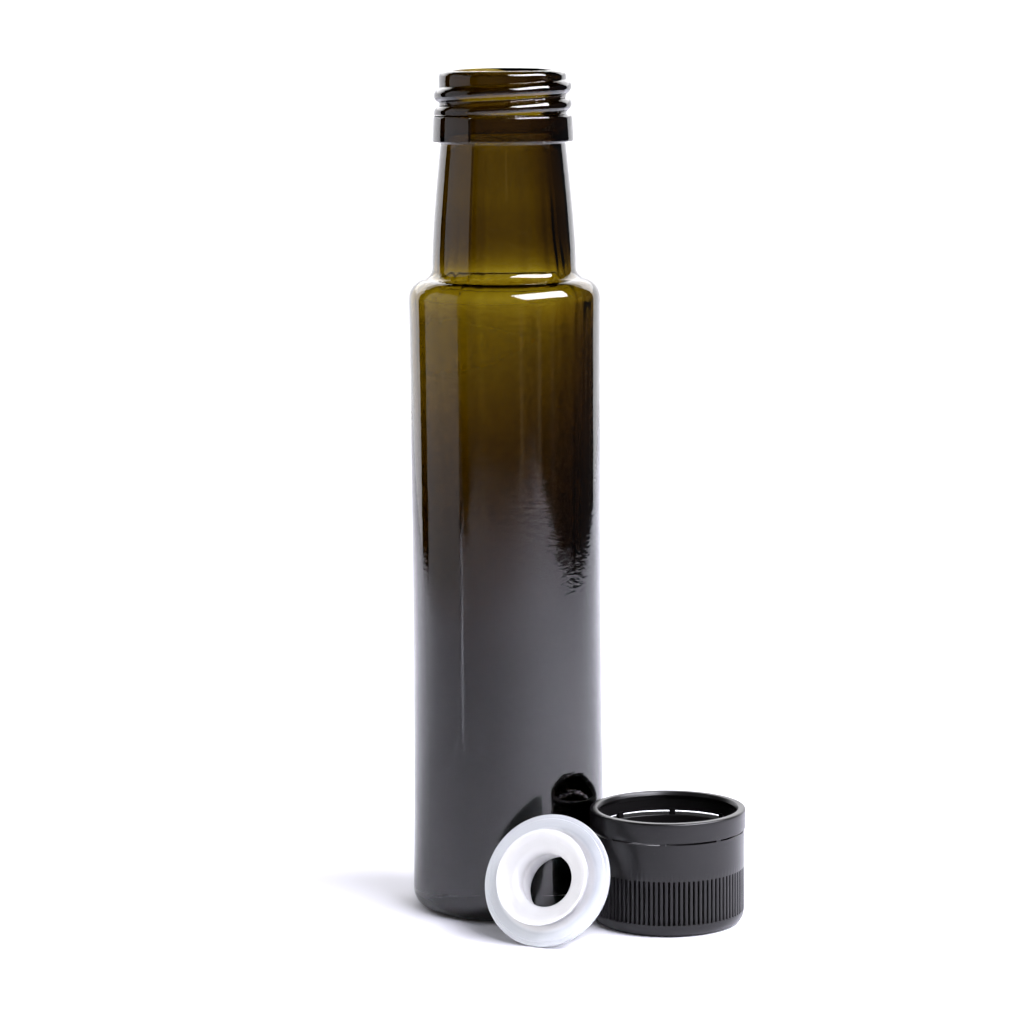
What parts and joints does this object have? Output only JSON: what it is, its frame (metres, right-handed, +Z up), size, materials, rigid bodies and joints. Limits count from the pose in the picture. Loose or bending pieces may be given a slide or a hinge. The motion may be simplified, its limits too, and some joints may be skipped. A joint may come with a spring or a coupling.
{
  "type": "oil bottle with screw cap and pourer",
  "caption": "Tall dark green glass oil bottle, open and empty, with its black screw cap standing upside down and its white pourer insert lying beside it.",
  "frame": {"origin": "on the surface that the set stands on, in the middle of the rectangle that the bottle, cap and pourer cover", "axes": "+Z up along the bottle, -Y towards the side that the cap and pourer lie on, +X towards the cap"},
  "size_m": [0.0732, 0.0644, 0.1854],
  "materials": {
    "green_glass": "polished, dark olive green",
    "cap_plastic": "satin moulded black",
    "pourer_plastic": "translucent moulded white"
  },
  "bodies": {
    "root": {"glass_bottle": "green_glass", "screw_cap": "cap_plastic", "pourer_insert": "pourer_plastic"}
  },
  "joints": []
}
